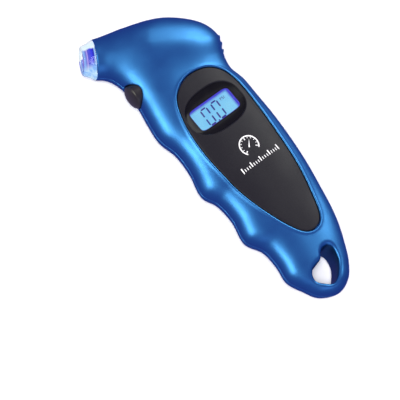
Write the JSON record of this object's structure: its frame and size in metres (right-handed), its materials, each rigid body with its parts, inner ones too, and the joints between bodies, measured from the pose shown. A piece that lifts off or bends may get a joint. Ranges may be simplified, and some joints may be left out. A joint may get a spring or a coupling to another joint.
{
  "type": "tire pressure gauge",
  "caption": "Pistol-shaped digital tire pressure gauge with a lit clear nozzle, inlaid display panel, press button, battery door and lanyard hole.",
  "frame": {"origin": "middle of the base of the whole gauge's box, on the surface it lies on", "axes": "+Z out of the display, +Y from the lanyard end to the head, +X to the right of the display"},
  "size_m": [0.0592, 0.154, 0.0265],
  "materials": {
    "body_paint": "blue metallic paint, satin gloss, on moulded ABS",
    "panel_plastic": "charcoal, fine matt texture",
    "bezel_gloss": "black, polished",
    "clear_window": "clear acrylic window",
    "lcd": "back-lit liquid crystal cell, cyan",
    "white_plastic": "white",
    "silicone_rubber": "translucent grey silicone",
    "circuit_board": "green solder resist",
    "black_resin": "black",
    "chip_ceramic": "tan ceramic with tinned ends",
    "button_plastic": "black, satin gloss",
    "clear_plastic": "clear polycarbonate, lit from inside",
    "seal_rubber": "black rubber",
    "brass": "turned brass",
    "led_resin": "clear epoxy",
    "spring_steel": "nickel-plated spring steel",
    "cell_steel": "nickel-plated steel can",
    "red_insulation": "red PVC",
    "black_insulation": "black PVC",
    "screw_steel": "zinc-plated steel"
  },
  "bodies": {
    "housing": {"front_shell": "body_paint", "rear_shell": "body_paint", "face_panel": "panel_plastic", "display_bezel": "bezel_gloss", "display_lens": "clear_window", "lcd_glass": "lcd", "backlight_plate": "white_plastic", "zebra_strip": "silicone_rubber", "main_board": "circuit_board", "controller_chip": "black_resin", "chip_components": "chip_ceramic", "pressure_sensor": "white_plastic", "button_switch": "black_resin", "nozzle": "clear_plastic", "valve_seal": "seal_rubber", "depressor_pin": "brass", "nozzle_led": "led_resin", "air_hose": "silicone_rubber", "hose_clips": "spring_steel", "battery_holder": "black_resin", "coin_cell_1": "cell_steel", "coin_cell_2": "cell_steel", "coin_cell_3": "cell_steel", "positive_contact": "spring_steel", "negative_contact": "spring_steel", "positive_lead": "red_insulation", "negative_lead": "black_insulation", "case_screws": "screw_steel", "board_screws": "screw_steel"},
    "button": {"power_button": "button_plastic"},
    "plunger": {"switch_plunger": "white_plastic"},
    "door": {"battery_door": "body_paint"}
  },
  "joints": [
    {"name": "button_press", "type": "slide", "parent": "housing", "child": "button", "axis": [1, 0, 0], "range_m": [0, 0.0005], "stiffness_N_per_m": 2000, "springref_m": -0.0002},
    {"name": "plunger_press", "type": "slide", "parent": "housing", "child": "plunger", "axis": [1, 0, 0], "range_m": [0, 0.0005]},
    {"name": "door_pull", "type": "slide", "parent": "housing", "child": "door", "axis": [0.9397, 0.342, 0], "range_m": [0, 0.012]}
  ],
  "couplings": [
    {"joint": "plunger_press", "follows": "button_press", "ratio": 1}
  ]
}
